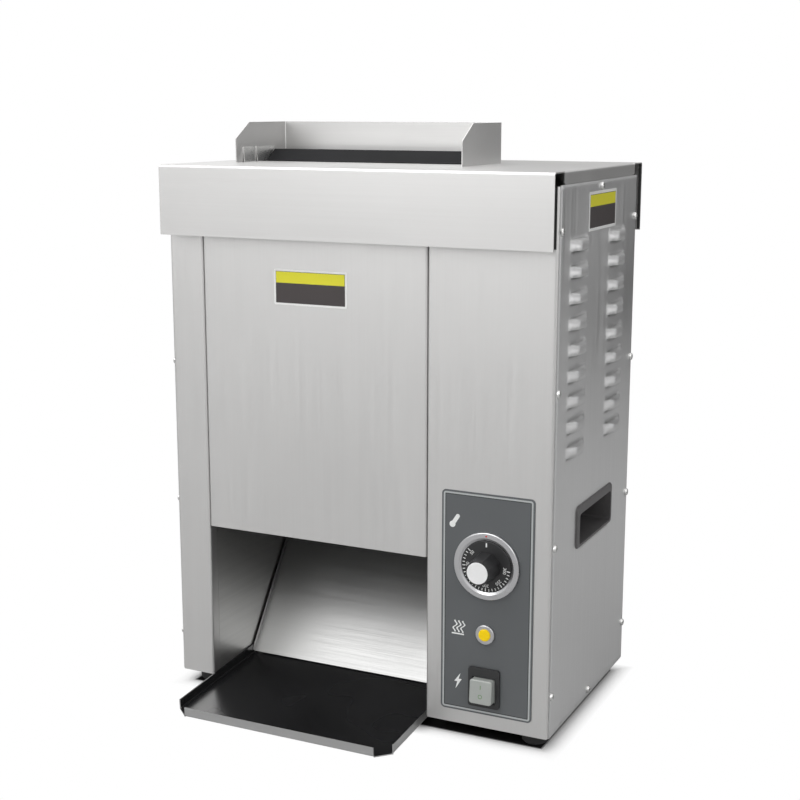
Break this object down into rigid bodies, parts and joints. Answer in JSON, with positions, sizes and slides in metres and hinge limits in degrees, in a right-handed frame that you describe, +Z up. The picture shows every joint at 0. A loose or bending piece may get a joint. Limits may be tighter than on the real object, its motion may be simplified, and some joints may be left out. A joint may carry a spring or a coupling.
{
  "type": "vertical conveyor toaster",
  "caption": "Countertop vertical conveyor toaster for bun halves: top feed slot, belt and heated plate, slide and front landing tray, side control panel.",
  "frame": {"origin": "bottom centre of the whole, on the counter", "axes": "+Z up, -Y towards the user (tray side), +X towards the control side"},
  "size_m": [0.462, 0.3598, 0.64],
  "materials": {
    "steel_front": "satin, light brushed",
    "steel_side": "satin, light brushed",
    "steel_inner": "mill finish",
    "slide_steel": "polished",
    "screw_steel": "bright plated",
    "rubber_black": "matte",
    "plastic_black": "fine grained",
    "ramp_black": "non-stick coat",
    "tray_coat": "black non-stick coat inside, grey steel outside",
    "platen_cast": "cast and machined",
    "element_sheath": "heat tinted",
    "release_cloth": "smooth coated cloth",
    "insulation_wool": "soft mineral wool",
    "belt_silicone": "matte ribbed",
    "roller_steel": "turned",
    "bush_bronze": "sintered",
    "block_plastic": "moulded",
    "gearbox_cast": "die cast",
    "motor_paint": "satin paint",
    "fan_plastic": "moulded",
    "grille_chrome": "bright wire",
    "overlay_film": "satin film",
    "bezel_metal": "satin chrome",
    "dial_black": "semi gloss",
    "cap_white": "gloss",
    "capillary_copper": "drawn",
    "lens_amber": "clear tinted",
    "switch_black": "moulded",
    "rocker_grey": "translucent",
    "relay_plastic": "moulded",
    "wire_sleeve": "smooth"
  },
  "bodies": {
    "case": {"base_pan": "steel_inner", "rubber_feet": "rubber_black", "foot_screws": "screw_steel", "left_side_panel": "steel_side", "right_side_panel": "steel_side", "recess_handle_left": "plastic_black", "recess_handle_right": "plastic_black", "rear_panel": "steel_front", "left_front_post": "steel_front", "front_cover": "steel_front", "control_front": "steel_front", "upper_rails": "steel_inner", "top_cover": "steel_front", "left_liner": "steel_inner", "partition": "steel_inner", "rear_liner": "steel_inner", "belt_guard": "steel_inner", "discharge_slide": "slide_steel", "platen": "platen_cast", "heating_element": "element_sheath", "element_clamp": "steel_inner", "platen_rails": "steel_inner", "release_sheet": "release_cloth", "insulation": "insulation_wool", "belt": "belt_silicone", "shaft_bushes": "bush_bronze", "conveyor_plate_left": "steel_inner", "conveyor_plate_right": "steel_inner", "take_up_blocks": "block_plastic", "take_up_screws": "screw_steel", "belt_support": "steel_inner", "tie_rods": "roller_steel", "gearbox": "gearbox_cast", "motor_can": "motor_paint", "fan_frame": "fan_plastic", "fan_grille": "grille_chrome", "control_overlay": "overlay_film", "dial_bezel": "bezel_metal", "thermostat_body": "steel_inner", "capillary_tube": "capillary_copper", "pilot_lamp_body": "bezel_metal", "pilot_lamp_lens": "lens_amber", "switch_frame": "switch_black", "terminal_block": "block_plastic", "cable_gland": "plastic_black", "heater_relay": "relay_plastic", "wiring": "wire_sleeve", "case_screws": "screw_steel"},
    "hopper": {"hopper_guard": "steel_front", "side_guides": "steel_inner", "feed_ramp": "ramp_black"},
    "tray": {"landing_tray": "tray_coat"},
    "drive_roller_body": {"drive_roller": "roller_steel"},
    "idler_roller_body": {"idler_roller": "roller_steel"},
    "fan_rotor_body": {"fan_rotor": "fan_plastic"},
    "dial": {"thermostat_dial": "dial_black", "dial_cap": "cap_white", "thermostat_shaft": "roller_steel"},
    "rocker": {"switch_rocker": "rocker_grey"}
  },
  "joints": [
    {"name": "hopper_lift", "type": "slide", "parent": "case", "child": "hopper", "axis": [0, 0, 1], "range_m": [0, 0.05]},
    {"name": "tray_pull", "type": "slide", "parent": "case", "child": "tray", "axis": [0, -1, 0], "range_m": [0, 0.11]},
    {"name": "drive_roller_spin", "type": "hinge", "parent": "case", "child": "drive_roller_body", "pos_m": [0, 0.0316, 0.224], "axis": [1, 0, 0], "continuous": true},
    {"name": "idler_roller_spin", "type": "hinge", "parent": "case", "child": "idler_roller_body", "pos_m": [0, 0.0316, 0.544], "axis": [1, 0, 0], "continuous": true},
    {"name": "fan_spin", "type": "hinge", "parent": "case", "child": "fan_rotor_body", "pos_m": [0.155, 0.1515, 0.416], "axis": [0, 1, 0], "continuous": true},
    {"name": "thermostat_turn", "type": "hinge", "parent": "case", "child": "dial", "pos_m": [0.1554, -0.1045, 0.1945], "axis": [0, 1, 0], "range_deg": [0, 270]},
    {"name": "power_rock", "type": "hinge", "parent": "case", "child": "rocker", "pos_m": [0.154, -0.0945, 0.059], "axis": [1, 0, 0], "range_deg": [0, 9]}
  ],
  "couplings": [
    {"joint": "idler_roller_spin", "follows": "drive_roller_spin", "ratio": 1}
  ]
}
